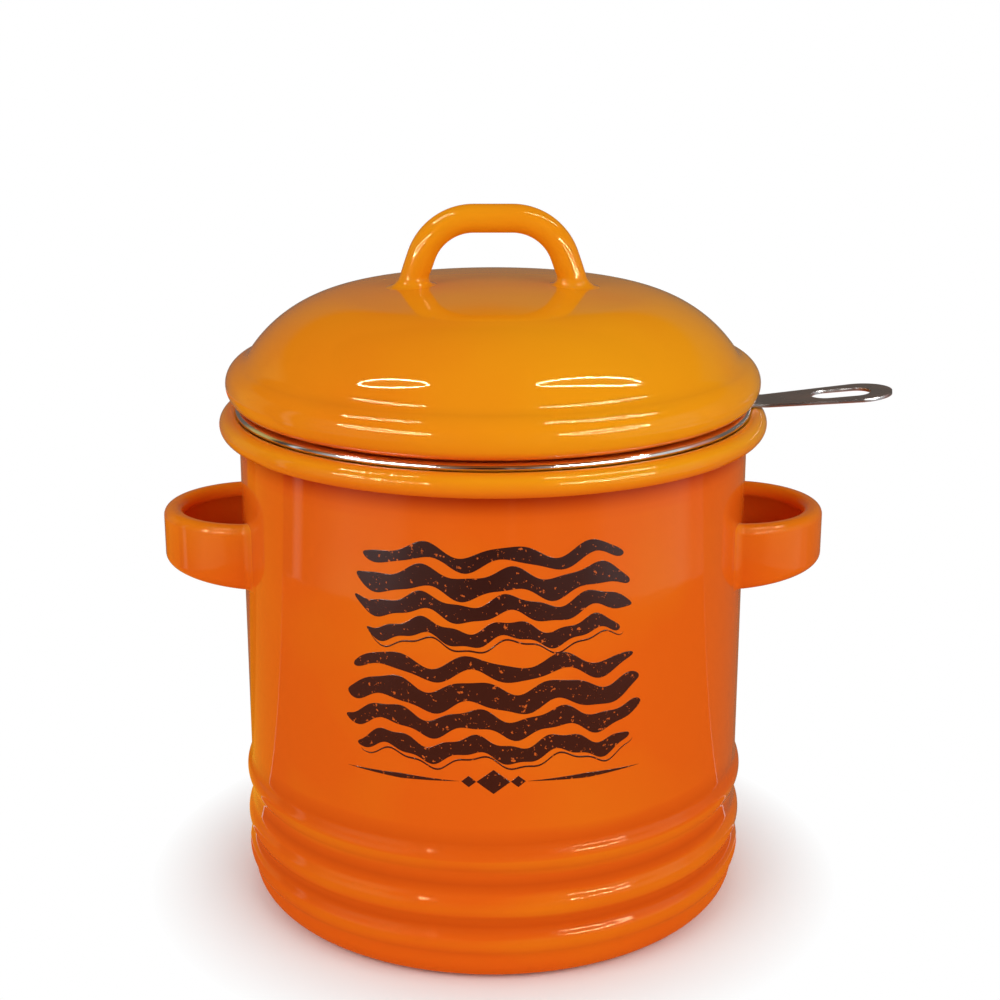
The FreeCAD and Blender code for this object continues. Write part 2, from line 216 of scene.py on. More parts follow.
copper_end, cream_end = 0.570, 0.590
baffle_start, baffle_end, baffle_height = 0.30, 0.43, 0.155
table_lift, strip_lift = 0.001, 0.002
sector_step = 10


def sector(name, start, end, inner, outer, shade, lift=table_lift):
    """A flat cloth of one colour, from one azimuth to another and between two distances."""
    turns = np.linspace(start, end, max(2, int((end - start) / sector_step) + 1))
    points = [toward(azimuth, 0, reach) + Vector((0, 0, lift))
              for reach in (inner, outer) for azimuth in turns]
    count = len(turns)
    faces = [(k, k + 1, count + k + 1, count + k) for k in range(count - 1)]
    reflected_only(name, points, faces, flat_glow(name, shade))


band_rows = ((far_start, table_lift), (band_distance, table_lift),
             *((band_distance, height) for height in band_heights))
stops, rows = len(band_stops), len(band_rows)
places = [toward(azimuth, 0, reach) + Vector((0, 0, lift))
          for reach, lift in band_rows for azimuth, _ in band_stops]
squares = [(k, k + 1, k + stops + 1, k + stops)
           for row in range(rows - 1) for k in range(row * stops, row * stops + stops - 1)]
painted_band, tree, out = material("painted_band")
paint = add(tree, "Attribute", attribute_name="paint")
glow = add(tree, "Emission", {"Color": paint.outputs["Color"], "Strength": 1.0})
tree.links.new(glow.outputs[0], out.inputs["Surface"])
reflected_only("painted_band", places, squares, painted_band)
coat = bpy.data.meshes["painted_band"].attributes.new("paint", "FLOAT_COLOR", "POINT")
row_paint = [linear(band_shades[shade]) for _, shade in band_stops]
coat.data.foreach_set("color", np.ravel(row_paint * (rows - pelmet_rows)
                                        + [linear(pelmet_shade)] * (pelmet_rows * stops)))
sector("copper_strip", -180, 180, cloth_end, copper_end, "#e0602a", strip_lift)
sector("cream_strip", -180, 180, copper_end, cream_end, "#c2b39f", strip_lift)
sector("near_cloth", -100, 100, cloth_start, far_start, "#d2622a")
sector("baffle", -80, 80, baffle_start, baffle_end, "#8a3a18", baffle_height)
for start, end, shade in cloths:
    cloth_name = f"cloth_{start}".replace("-", "minus_")
    sector(cloth_name, start, end, cloth_start, cloth_end, shade, strip_lift)
ceiling_half = 3.0
ceiling_height = 1.5
reflected_only("black_ceiling", [(x * ceiling_half, y * ceiling_half, ceiling_height)
                                 for x, y in ((-1, -1), (1, -1), (1, 1), (-1, 1))],
               [(0, 1, 2, 3)], flat_glow("black_cloth", "#1c1a19"))

camera_distance = 0.450
camera_height = 0.2332
camera_pitch = math.radians(16.36)
camera_yaw = math.radians(0.218)
sight = bpy.data.cameras.new("camera")
sight.sensor_width, sight.lens = 36.0, 66.37
sight.clip_start, sight.clip_end = 0.01, 20
camera = bpy.data.objects.new("camera", sight)
camera.location = (0, -camera_distance, camera_height)
camera.rotation_euler = (math.pi / 2 - camera_pitch, 0, -camera_yaw)
bpy.context.scene.collection.objects.link(camera)
bpy.context.scene.camera = camera
bpy.context.scene.view_settings.view_transform = "Standard"

# ---- Pot ------------------------------------------------------------------------------------
# The pot is drawn from one steel sheet.  Three beads are rolled into the lower wall, the edge
# is curled outwards into a hollow rim, and the whole is dipped: orange outside, grey-white in.
rim_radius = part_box("pot_shell")[1].x / MM
pot_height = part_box("pot_shell")[1].z / MM
wall_radius = 63.25
sheet = 0.9
base_corner = 6.2
bead_heights = (10.7, 19.8, 32.2)
bead_depths = (1.3, 1.3, 1.2)
bead_half_width = 4.4
curl_slit = 0.15
inside_radius = wall_radius - sheet
roll_radius = (rim_radius - inside_radius) / 2
roll_centre = (inside_radius + roll_radius, pot_height - roll_radius)
orange_runs_in = 7.5
around_steps = 384
pot_steps = 256
longest_span = 2.0
lining_turn, lining_span = 8.0, 4.0
merge_distance = 1e-7


def fold(path, depth=0.0, turn_step=5.0, span=longest_span):
    """One face of a bent sheet as points (r, z) in mm.

    Each bend (centre r, centre z, radius, start, end) is an arc between two angles in degrees,
    and straights join one arc to the next.  The face lies depth to the left of the path, so a
    bend that turns left loses depth from its radius and one that turns right gains it.  Points
    on a bend are no more than turn_step degrees and span mm apart.
    """
    runs = []
    for r, z, radius, start, end in path:
        bent = radius - depth if end > start else radius + depth
        swing = abs(end - start)
        steps = 1 + int(np.ceil(max(swing / turn_step, math.radians(swing) * radius / span)))
        turn = np.radians(np.linspace(start, end, steps))
        runs.append(np.stack([r + bent * np.cos(turn), z + bent * np.sin(turn)], -1))
    return np.concatenate(runs)


def spread(line, span=longest_span):
    """The same line without doubled points, and with points added on its long straights.

    Between two points further apart than span, new ones stand evenly on the line that joins them.
    """
    steps = np.linalg.norm(np.diff(line, axis=0), axis=1)
    line = line[np.concatenate([[True], steps > merge_distance])]
    along = np.concatenate([[0], np.cumsum(np.linalg.norm(np.diff(line, axis=0), axis=1))])
    pieces = [np.linspace(a, b, int(np.ceil((b - a) / span)), endpoint=False)
              for a, b in zip(along[:-1], along[1:])]
    stations = np.concatenate(pieces + [along[-1:]])
    return np.stack([np.interp(stations, along, line[:, k]) for k in range(line.shape[1])], -1)


def spun(line, steps=around_steps):
    """The line (r, z) turned round the pot's axis: x = r cos a, y = r sin a, with z kept."""
    turn = np.linspace(0, 2 * np.pi, steps, endpoint=False) - np.pi / 2
    r, z = line[:, 0, None], line[:, 1, None]
    return np.stack([r * np.cos(turn), r * np.sin(turn), z + 0 * turn], -1)


def surface(name, grid, around=True, along=False, slots=None, painted_light_and_shade=None):
    """A mesh in metres from a grid of points in mm: rows by columns, each square one face.

    A grid of four axes is several strands of rows and columns in one mesh.  around joins the
    last column to the first, and along the last row to the first.  Doubled points at poles are
    merged, and the faces are turned round if the volume comes out negative.  slots gives a
    material number for each row of faces, painted_light_and_shade a number for each point: the
    painted light there where it is positive, the painted shade where it is negative.
    """
    grid = grid if grid.ndim == 4 else grid[None]
    index = np.arange(grid[..., 0].size).reshape(grid.shape[:3])
    index = np.concatenate([index, index[:, :1]], axis=1) if along else index
    index = np.concatenate([index, index[..., :1]], axis=2) if around else index
    quads = np.stack([index[:, :-1, :-1], index[:, :-1, 1:],
                      index[:, 1:, 1:], index[:, 1:, :-1]], -1)
    numbers = np.zeros(quads.shape[:3]) + (0 if slots is None else np.asarray(slots)[:, None])
    quads = quads.reshape(-1, 4)
    points = grid.reshape(-1, 3) * MM
    a, b, c, d = (points[quads[:, k]] for k in range(4))
    volume = np.einsum("ij,ij->i", a, np.cross(b, c) + np.cross(c, d)).sum()
    quads = quads[:, ::-1] if volume < 0 else quads
    mesh = bpy.data.meshes.new(name)
    mesh.vertices.add(len(points))
    mesh.vertices.foreach_set("co", points.ravel())
    mesh.loops.add(quads.size)
    mesh.loops.foreach_set("vertex_index", quads.ravel())
    mesh.polygons.add(len(quads))
    mesh.polygons.foreach_set("loop_start", np.arange(0, quads.size, 4))
    mesh.polygons.foreach_set("material_index", numbers.astype(np.int32).ravel())
    mesh.polygons.foreach_set("use_smooth", np.ones(len(quads), bool))
    mesh.update(calc_edges=True)
    painted_lightness = mesh.attributes.new("painted_light_and_shade", "FLOAT", "POINT")
    painted_lightness.data.foreach_set("value", np.zeros(len(points)) if painted_light_and_shade is None else painted_light_and_shade.ravel())
    shaped = bmesh.new()
    shaped.from_mesh(mesh)
    bmesh.ops.remove_doubles(shaped, verts=shaped.verts, dist=merge_distance)
    bmesh.ops.dissolve_degenerate(shaped, edges=shaped.edges, dist=merge_distance / 10)
    shaped.to_mesh(mesh)
    shaped.free()
    piece = bpy.data.objects.new(name, mesh)
    bpy.context.scene.collection.objects.link(piece)
    return piece


def bead(height, depth):
    """A bead rolled outwards in the wall: three tangent bends, out, round the crest and back."""
    tilt = 2 * math.degrees(math.atan2(depth, bead_half_width))
    bend = bead_half_width / math.sin(math.radians(tilt)) / 2
    return [(wall_radius + bend, height - bead_half_width, bend, 180, 180 - tilt),
            (wall_radius + depth - bend, height, bend, -tilt, tilt),
            (wall_radius + bend, height + bead_half_width, bend, 180 + tilt, 180)]


def light_and_shade_by_height(grid, places):
    """The amount of painted light and shade at each point of a grid, by its height.

    Each place is a height, an amount and a reach: the full amount at the height, falling in a
    straight line to nothing at reach above and below it.  The largest amount counts.
    """
    return np.max([amount * np.clip(1 - np.abs(grid[..., 2] - height) / reach, 0, 1)
                   for height, amount, reach in places], axis=0)


pot_path = [(0, 0, 0, 90, 90), (wall_radius - base_corner, base_corner, base_corner, 270, 360)]
for bead_height, bead_depth in zip(bead_heights, bead_depths):
    pot_path += bead(bead_height, bead_depth)
curl_end = math.degrees(math.acos((wall_radius + curl_slit - roll_centre[0]) / roll_radius))
pot_path.append((*roll_centre, roll_radius - sheet, 180, -curl_end))
pot_outside = spread(fold(pot_path))
pot_inside = spread(fold(pot_path, sheet, lining_turn, lining_span), lining_span)[::-1]
pot_grid = spun(np.concatenate([pot_outside, pot_inside]), pot_steps)
lined = ((pot_inside[:, 1] < pot_height - orange_runs_in)
         & (pot_inside[:, 0] < wall_radius - sheet / 2))
lining = np.concatenate([np.zeros(len(pot_outside)), lined])

# Painted light: the rim and the beads' crests are painted lighter and yellower, the rim more so
# on the right.  Painted shade, which counts as negative: under the rim, between the beads and
# above the top one.
under_rim = pot_height - 2 * roll_radius
painted_light_side = 0.28
rim_painted_light_base = 0.95
rim_painted_light = [(pot_height - 1.0, 1.0, 5.0)]
crests_painted_light = [(height, 0.15, 3.5) for height in bead_heights]
pot_painted_shade_places = [(under_rim - 0.5, 0.8, 5.0), (bead_heights[-1] + bead_half_width, 0.22, 4.0)]
pot_painted_shade_places += [((lower + upper) / 2, 0.34, 3.0)
              for lower, upper in zip(bead_heights[:-1], bead_heights[1:])]
pot_painted_light_and_shade = np.maximum(
    light_and_shade_by_height(pot_grid, rim_painted_light) * (rim_painted_light_base + painted_light_side * pot_grid[..., 0] / rim_radius),
    light_and_shade_by_height(pot_grid, crests_painted_light))
pot_painted_shade = light_and_shade_by_height(pot_grid, pot_painted_shade_places)
below_rim = pot_grid[..., 2] < under_rim + 1.0
below_rim[len(pot_outside):] = False
pot_painted_light_and_shade = np.where(below_rim & (pot_painted_shade > 0), -pot_painted_shade, pot_painted_light_and_shade)
pot_body = surface("pot_body", pot_grid, slots=np.minimum(lining[:-1], lining[1:]), painted_light_and_shade=pot_painted_light_and_shade)


drift_size, peel_size, ripple_size = 45.0, 6.0, 1.2
peel_height, ripple_height = 0.010, 0.0005
drift_less, drift_more = -0.12, 0.16
noise_low, noise_high = 0.3, 0.7


def enamel(name, painted_shade, plain_colour, painted_lightness, gloss, peel=1.0):
    """Vitreous enamel on steel, fired twice: a hard glass coat, glossy, with a faint orange peel.

    The colour runs from a painted shade where the attribute is negative, through the plain colour,
    to a painted light, lighter and yellower, where it is positive, and drifts slightly over the
    piece.  The gloss is that of soda glass, tinted by the glaze where it is seen square on.  The
    peel is ripples some 6 mm across and a hundredth of a millimetre high, with much lower ones of
    about 1 mm on top.
    """
    made, tree, out = material(name)
    place = add(tree, "TexCoord").outputs["Object"]
    drift = add(tree, "TexNoise", {"Vector": place, "Scale": 1 / (drift_size * MM), "Detail": 2.0})
    # run reads the attribute of painted light and shade: positive lightens towards the painted light
    # colour, negative darkens towards the painted shade colour.
    run = add(tree, "Attribute", attribute_name="painted_light_and_shade")
    amount = add(tree, "MapRange", {"Value": drift.outputs["Fac"], "From Min": noise_low,
                                    "From Max": noise_high, "To Min": drift_less,
                                    "To Max": drift_more})
    level = add(tree, "Math", {0: run.outputs["Fac"], 1: amount.outputs[0]}, operation="ADD")
    lighter = add(tree, "Mix", {0: level.outputs[0], 6: linear(plain_colour), 7: linear(painted_lightness)},
                  data_type="RGBA", clamp_factor=True)
    painted_shade_share = add(tree, "Math", {0: run.outputs["Fac"], 1: -1.0}, operation="MULTIPLY", use_clamp=True)
    colour = add(tree, "Mix", {0: painted_shade_share.outputs[0], 6: lighter.outputs[2], 7: linear(painted_shade)},
                 data_type="RGBA")
    broad = add(tree, "TexNoise", {"Vector": place, "Scale": 1 / (peel_size * MM), "Detail": 1.0})
    fine = add(tree, "TexNoise", {"Vector": place, "Scale": 1 / (ripple_size * MM), "Detail": 1.0})
    swell = add(tree, "Bump", {"Height": broad.outputs["Fac"], "Strength": 1.0,
                               "Distance": peel_height * MM * peel})
    ripple = add(tree, "Bump", {"Height": fine.outputs["Fac"], "Strength": 1.0,
                                "Distance": ripple_height * MM * peel,
                                "Normal": swell.outputs[0]})
    skin = add(tree, "BsdfPrincipled", {"Base Color": colour.outputs[2], "Roughness": 0.04,
                                        "IOR": 1.4, "Specular Tint": linear(gloss),
                                        "Normal": ripple.outputs[0]})
    tree.links.new(skin.outputs[0], out.inputs["Surface"])
    return made


# Each enamel has its painted shade colour, its plain colour, its painted light colour and the tint of
# its gloss.
orange_enamel = enamel("orange_vitreous_enamel_on_steel",
                       "#a41c04", "#e46013", "#ed9813", "#ffd69a")
lining_enamel = enamel("grey_white_vitreous_enamel_on_steel",
                       "#c9c6c0", "#efede8", "#f4f2ee", "#ffffff", 0.8)
pot_body.data.materials.append(orange_enamel)
pot_body.data.materials.append(lining_enamel)
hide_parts("pot_shell")
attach(pot_body, "pot")

# ---- Fired print ----------------------------------------------------------------------------
# A dark brown ceramic ink is screened on the front of the pot and fired with the glaze: two
# rashers of bacon, one over the other, above a thin rule.  The ink is worn through in specks.
ink_rise, ink_root = 0.05, 0.03
ink_edge, ink_edge_share = 0.08, 0.3
ink_stations = 161

# Each rasher has its middle height, half length, height and phase; each of its bands the shares
# of that height that it lies between and how much shorter it is; each mark of the rule its
# middle, half length and half height.
rasher_rows = ((97.1, 32.8, 21.3, 0.4), (69.8, 35.9, 23.3, 3.0))
rasher_bands = ((0.0, 0.17, 3.0), (0.27, 0.45, 0.0), (0.53, 0.75, 0.6), (0.85, 1.0, 2.4))
curl_length, curl_rise = 20.0, 1.5
edge_length, edge_longer, edge_rise = 8.0, 1.3, 0.5
edge_shift, share_shift = 2.1, 9
end_bluntness = 9
shadow_drop, shadow_half, shadow_aside = 1.15, 0.2, 0.9
rule_height = 52.4
rule_marks = ((-21.9, 14.0, 0.6), (21.9, 14.0, 0.6), (0.0, 3.9, 3.0), (-5.7, 1.7, 1.4),
              (5.7, 1.7, 1.4))


def rasher(middle, half, tall, phase):
    """The upper and lower edges of one rasher's dark bands, and of a thin line below them.

    Along s the rasher rises and falls as a sine; each band edge lies at its share of the height
    and has a small sine of its own.  Bands close at both ends as a blunt super-ellipse.
    """
    u = np.sin(np.linspace(-np.pi / 2, np.pi / 2, ink_stations))
    close = (1 - np.abs(u) ** end_bluntness) ** 0.5
    bands = []
    for number, (low, high, short) in enumerate(rasher_bands):
        s = u * (half - short)
        wave = curl_rise * np.sin(2 * np.pi * s / curl_length + phase)
        turn = 2 * np.pi * s / (edge_length + edge_longer * number) + edge_shift * number + phase
        edges = [middle + wave + (share - 0.5) * tall + edge_rise * np.sin(turn + share_shift * share)
                 for share in (low, high)]
        centre, depth = (edges[0] + edges[1]) / 2, (edges[1] - edges[0]) / 2 * close
        bands.append((s, centre - depth, centre + depth))
    s, lowest = bands[0][0], bands[0][1]
    line = lowest - shadow_drop
    bands.append((s + shadow_aside, line - shadow_half * close, line + shadow_half * close))
    return bands


def rule_mark(centre, half, tall):
    """A lozenge on the rule: its height falls in a straight line from the middle to the ends."""
    s = np.linspace(-half, half, ink_stations)
    rise = tall * (1 - np.abs(s) / half)
    return s + centre, rule_height - rise, rule_height + rise


# Each band's face, carried along s, is a flat strip that turns down into the glaze at its edges.
bands = [band for row in rasher_rows for band in rasher(*row)]
bands += [rule_mark(*mark) for mark in rule_marks]
ink_s, ink_low, ink_high = (np.array(part)[..., None] for part in zip(*bands))
ink_lip = np.minimum(ink_edge, ink_edge_share * (ink_high - ink_low))
ink_z = np.concatenate([ink_low, ink_low, ink_low + ink_lip,
                        ink_high - ink_lip, ink_high, ink_high], -1)
ink_r = wall_radius + np.array([-ink_root, ink_rise, ink_rise, ink_rise, ink_rise, -ink_root])
ink_turn = ink_s / wall_radius
ink_grid = np.stack([ink_r * np.sin(ink_turn), -ink_r * np.cos(ink_turn), ink_z], -1)
fired_print = surface("fired_print", ink_grid)

# The ink is matt next to the glaze, and the glaze shows through it in specks about 1 mm across.
speck_size, grain_height = 1.1, 0.012
worn_from, worn_to = 0.63, 0.66
ceramic_ink, tree, out = material("fired_ceramic_ink")
place = add(tree, "TexCoord").outputs["Object"]
specks = add(tree, "TexNoise", {"Vector": place, "Scale": 1 / (speck_size * MM), "Detail": 3.0,
                                "Roughness": 0.65})
worn = add(tree, "MapRange", {"Value": specks.outputs["Fac"], "From Min": worn_from,
                              "From Max": worn_to})
ink_colour = add(tree, "Mix", {0: worn.outputs[0], 6: linear("#34130c"), 7: linear("#c9580f")},
                 data_type="RGBA")
grain = add(tree, "Bump", {"Height": specks.outputs["Fac"], "Strength": 1.0,
                           "Distance": grain_height * MM})
skin = add(tree, "BsdfPrincipled", {"Base Color": ink_colour.outputs[2], "Roughness": 0.22,
                                    "IOR": 1.5, "Normal": grain.outputs[0]})
tree.links.new(skin.outputs[0], out.inputs["Surface"])
fired_print.data.materials.append(ceramic_ink)
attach(fired_print, "pot")

# ---- Side grips -----------------------------------------------------------------------------
# Each grip is a steel strap pressed to an open C, bent to a D, spread at its feet and welded to
# the wall before the pot is enamelled, so the glaze runs from one to the other.
grip_below_rim = 33.9
grip_height = pot_height - grip_below_rim
grip_reach = 20.25
grip_half_width = 22.0
grip_root_band = 16.5
grip_outer_band = 14.2
grip_depth = 5.0
grip_bend = 2.3
grip_lip = 3.1
foot_fillet = 3.0
foot_sink = 0.012
grip_root = 1.0
grip_painted_light, grip_painted_light_reach = 0.4, 3.0
foot_rings, bow_rings = 24, 49


def channel(band, flare, thick=sheet):
    """The closed outline (out, up) of a C-shaped strip, open towards the pot, with rounded lips."""
    top, web, lip = band / 2 + flare, grip_depth + flare, band / 2 - grip_lip
    path = [(0, lip, 0, 180, 180), (grip_bend, top - grip_bend, grip_bend, 180, 90),
            (web - grip_bend, top - grip_bend, grip_bend, 90, 0),
            (web - grip_bend, grip_bend - top, grip_bend, 0, -90),
            (grip_bend, grip_bend - top, grip_bend, -90, -180), (0, -lip, 0, 180, 180)]
    return np.concatenate([fold(path, (thick - sheet) / 2), fold(path, -(thick + sheet) / 2)[::-1]])


def grip(name, side):
    """A strap carried along a D: two straight arms that flare on to the wall and a half-round bow.

    At each station the C outline is laid across the route, its out axis square to the heading
    and its up axis vertical.  The first and last outlines are closed to a line and lie inside
    the wall's sheet.  side is 1 for the right grip and -1 for the left.
    """
    gap = grip_half_width - grip_depth
    under_skin = wall_radius - foot_sink
    foot_y = (grip_half_width + foot_fillet) / (1 + foot_fillet / under_skin)
    foot_turn = math.acos(foot_y / under_skin)
    bow_x = wall_radius + grip_reach - grip_half_width
    turn = np.linspace(foot_turn, 0, foot_rings)
    run = under_skin * math.sin(foot_turn) + foot_fillet * (math.sin(foot_turn) - np.sin(turn))
    flare = foot_fillet * (1 - np.cos(turn))
    arm = [(x, gap, grip_root_band, f, 90) for x, f in zip(run, flare)]
    arm.insert(0, (run[0] - grip_root, gap, grip_root_band, flare[0], 90))
    bow = []
    for angle in np.linspace(90, -90, bow_rings):
        reach, across = math.cos(math.radians(angle)), math.sin(math.radians(angle))
        band = grip_root_band + (grip_outer_band - grip_root_band) * reach
        bow.append((bow_x + gap * reach, gap * across, band, 0, angle))
    back = [(x, -y, band, f, -90) for x, y, band, f, _ in reversed(arm)]
    route = arm + bow + back
    rings = []
    for station, (x, y, band, f, angle) in enumerate(route):
        closed = station in (0, len(route) - 1)
        outline = channel(band, f, 0 if closed else sheet)
        out_x, out_y = math.cos(math.radians(angle)), math.sin(math.radians(angle))
        middle = grip_height + (grip_root_band - band) / 2
        rings.append(np.stack([side * (x + outline[:, 0] * out_x), y + outline[:, 0] * out_y,
                               middle + outline[:, 1]], -1))
    grid = np.array(rings)
    from_axis = np.linalg.norm(grid[..., :2], axis=-1, keepdims=True)
    grid[..., :2] *= np.maximum((wall_radius - sheet / 2) / from_axis, 1)
    # The upper lip is painted lighter and yellower: painted light on the grip's top edge.
    upper_lip = [(grip_height + grip_root_band / 2, grip_painted_light, grip_painted_light_reach)]
    made = surface(name, grid, painted_light_and_shade=light_and_shade_by_height(grid, upper_lip))
    made.data.materials.append(orange_enamel)
    return made


for grip_name, cad_name, side in (("right_grip", "right_side_handle", 1),
                                  ("left_grip", "left_side_handle", -1)):
    made = grip(grip_name, side)
    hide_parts(cad_name)
    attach(made, "pot")

# ---- Strainer -------------------------------------------------------------------------------
# The strainer is spun from thin stainless sheet and polished: a flange with its edge turned
# down, a straight wall, and a seat turned in at the bottom that the screen is held against.
steel = 0.5
strainer_radius = 60.75
strainer_inside = strainer_radius - steel
flange_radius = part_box("strainer_bowl")[1].x / MM
flange_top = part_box("strainer_bowl")[1].z / MM
strainer_depth = 23.6
flange_edge = 1.0
flange_neck = 0.9
flange_inset = 1.0
seat_gap = 0.25
strainer_corner = 5.0
screen_seat = 3.8
screen_thickness = 0.6
strap_thickness = 0.8
strap_top = flange_top - steel
rim_under_flange = roll_centre[1] + math.sqrt(roll_radius ** 2 - flange_inset ** 2)
seat_top = flange_top - strainer_depth + steel
screen_radius = strainer_radius - strainer_corner - steel
screen_open = screen_radius - screen_seat
notch_half = 5.8
steel_span = 1.0

bowl_path = [(flange_radius, rim_under_flange + seat_gap, 0, 180, 180),
             (flange_radius - flange_edge, flange_top - flange_edge, flange_edge, 0, 90),
             (strainer_inside + flange_neck, flange_top - flange_neck, flange_neck, 90, 180),
             (strainer_inside - strainer_corner, seat_top + strainer_corner, strainer_corner, 0, -90),
             (screen_open, seat_top, 0, -90, -90)]
bowl_line = np.concatenate([spread(fold(bowl_path), steel_span),
                            spread(fold(bowl_path, steel), steel_span)[::-1]])
bowl_grid = spun(bowl_line)

# The flange's edge is cut away for the strap, up to the strap's top face.
at_notch = ((np.abs(bowl_grid[..., 1]) < notch_half)
            & (bowl_grid[..., 0] > strainer_radius + flange_neck))
bowl_grid[..., 2] = np.where(at_notch, np.maximum(bowl_grid[..., 2], strap_top), bowl_grid[..., 2])
strainer_pan = surface("strainer_pan", bowl_grid, along=True)


cloud_size = 12.0
clearer, duller = 0.8, 1.25


def polished_steel(name, shade, roughness, lines, line_height, turned=True):
    """Stainless steel, polished or brushed: a mirror drawn out by fine lines left by the wheel.

    turned lines run round the axis, as on a spun bowl; the others run along the strap.  The
    lines are closer on the real metal than a picture can show, so they are drawn lines mm apart
    and line_height mm high.
    """
    made, tree, out = material(name)
    place = add(tree, "TexCoord").outputs["Object"]
    apart = add(tree, "SeparateXYZ", {0: place})
    if turned:
        flat = add(tree, "CombineXYZ", {0: apart.outputs[0], 1: apart.outputs[1]})
        reach = add(tree, "VectorMath", {0: flat.outputs[0]}, operation="LENGTH").outputs["Value"]
        across = add(tree, "CombineXYZ", {0: reach, 2: apart.outputs[2]}).outputs[0]
    else:
        across = add(tree, "CombineXYZ", {1: apart.outputs[1]}).outputs[0]
    scratch = add(tree, "TexNoise", {"Vector": across, "Scale": 1 / (lines * MM), "Detail": 3.0})
    cloud = add(tree, "TexNoise", {"Vector": place, "Scale": 1 / (cloud_size * MM), "Detail": 2.0})
    rough = add(tree, "MapRange", {"Value": cloud.outputs["Fac"], "From Min": noise_low,
                                   "From Max": noise_high, "To Min": roughness * clearer,
                                   "To Max": roughness * duller})
    relief = add(tree, "Bump", {"Height": scratch.outputs["Fac"], "Strength": 1.0,
                                "Distance": line_height * MM})
    skin = add(tree, "BsdfPrincipled", {"Base Color": linear(shade), "Metallic": 1.0,
                                        "Roughness": rough.outputs[0], "Normal": relief.outputs[0]})
    tree.links.new(skin.outputs[0], out.inputs["Surface"])
    return made


bright_steel = polished_steel("polished_stainless_steel", "#e2e1de", 0.10, 0.5, 0.0015)
satin_steel = polished_steel("satin_stainless_steel", "#a4a8aa", 0.28, 0.25, 0.006, turned=False)
strainer_pan.data.materials.append(bright_steel)
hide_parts("strainer_bowl")
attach(strainer_pan, "strainer")

# ---- Clamp ring -----------------------------------------------------------------------------
# A thin ring pressed on from below holds the screen against its seat and leaves a small step
# round the foot of the wall.
ring_height = 5.9
ring_corner = strainer_corner + steel
ring_bottom = seat_top - steel - screen_thickness
ring_path = [(strainer_radius, ring_bottom + ring_height, 0, 0, 0),
             (strainer_radius - ring_corner, ring_bottom + ring_corner, ring_corner, 0, -90),
             (screen_open, ring_bottom, 0, -90, -90)]
ring_line = np.concatenate([spread(fold(ring_path), steel_span),
                            spread(fold(ring_path, steel), steel_span)[::-1]])
screen_ring = surface("screen_ring", spun(ring_line), along=True)
screen_ring.data.materials.append(bright_steel)
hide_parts("mesh_clamp_ring")
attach(screen_ring, "strainer")

# ---- Screen ---------------------------------------------------------------------------------
# The screen is plain-woven stainless wire, each wire over one and under the next, cut to a disc
# and held between the seat and the clamp ring.  The weave is drawn coarser than the real one.
weave_pitch = 2.0
wire_radius = 0.15
weave_rise = 0.14
screen_middle = seat_top - steel - screen_thickness / 2
steps_each_way = int(screen_radius / weave_pitch)
samples_per_pitch = 4
samples = (steps_each_way + 1) * samples_per_pitch
wire_sides = 4

# Each wire rises and falls as a cosine with one half wave to each wire that it crosses; at its
# ends, on the disc's edge, it closes to a point.
wire_place = np.arange(-steps_each_way, steps_each_way + 1) * weave_pitch
wire_reach = np.sqrt(screen_radius ** 2 - wire_place ** 2)[:, None]
wire_along = np.arange(-samples, samples + 1)[None] * weave_pitch / samples_per_pitch
wire_along = np.clip(wire_along, -wire_reach, wire_reach)
over_under = np.where(np.arange(len(wire_place)) % 2, 1, -1)[:, None]
wire_lift = weave_rise * over_under * np.cos(np.pi * wire_along / weave_pitch)
wire_round = np.linspace(0, 2 * np.pi, wire_sides, endpoint=False) + np.pi / wire_sides
wire_thick = np.where(np.abs(wire_along) < wire_reach, wire_radius, 0)[..., None]
sideways = wire_place[:, None, None] + wire_thick * np.cos(wire_round)
upright = wire_lift[..., None] + wire_thick * np.sin(wire_round)
lengthways = wire_along[..., None] + 0 * sideways
warp = np.stack([lengthways, sideways, screen_middle + upright], -1)
weft = np.stack([sideways, lengthways, screen_middle - upright], -1)
woven_screen = surface("woven_screen", np.concatenate([warp, weft[..., ::-1, :]]))
screen_wire = polished_steel("drawn_stainless_wire", "#deddda", 0.25, 0.5, 0.0)
woven_screen.data.materials.append(screen_wire)
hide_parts("strainer_mesh")
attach(woven_screen, "strainer")

# ---- Strap ----------------------------------------------------------------------------------
# The handle is a flat strap of satin stainless, slotted to hang up.  It runs in under the flange
# through a notch, bends down and is spot-welded to the wall, where the weld leaves a low knob.
strap_root_half = 5.5
strap_tip_half = 8.5
strap_reach, strap_rise = 35.6, 5.0
strap_tip = flange_radius + strap_reach
strap_slope = math.tan(math.radians(strap_rise))
strap_bend = 1.8
strap_leg = 9.0
strap_leg_end = flange_top - strap_leg
slot_half, slot_straight, slot_from_tip = 4.25, 6.5, 5.2
slot_far = strap_tip - slot_from_tip - slot_half
slot_near = slot_far - slot_straight
tip_middle = strap_tip - strap_tip_half
strap_edge = 0.18
strap_edge_angle = 50
strap_rows = 17
tip_steps, slot_steps, slot_side_steps = 40, 24, 10
arm_steps, root_steps, bend_steps, leg_steps = 16, 8, 12, 6

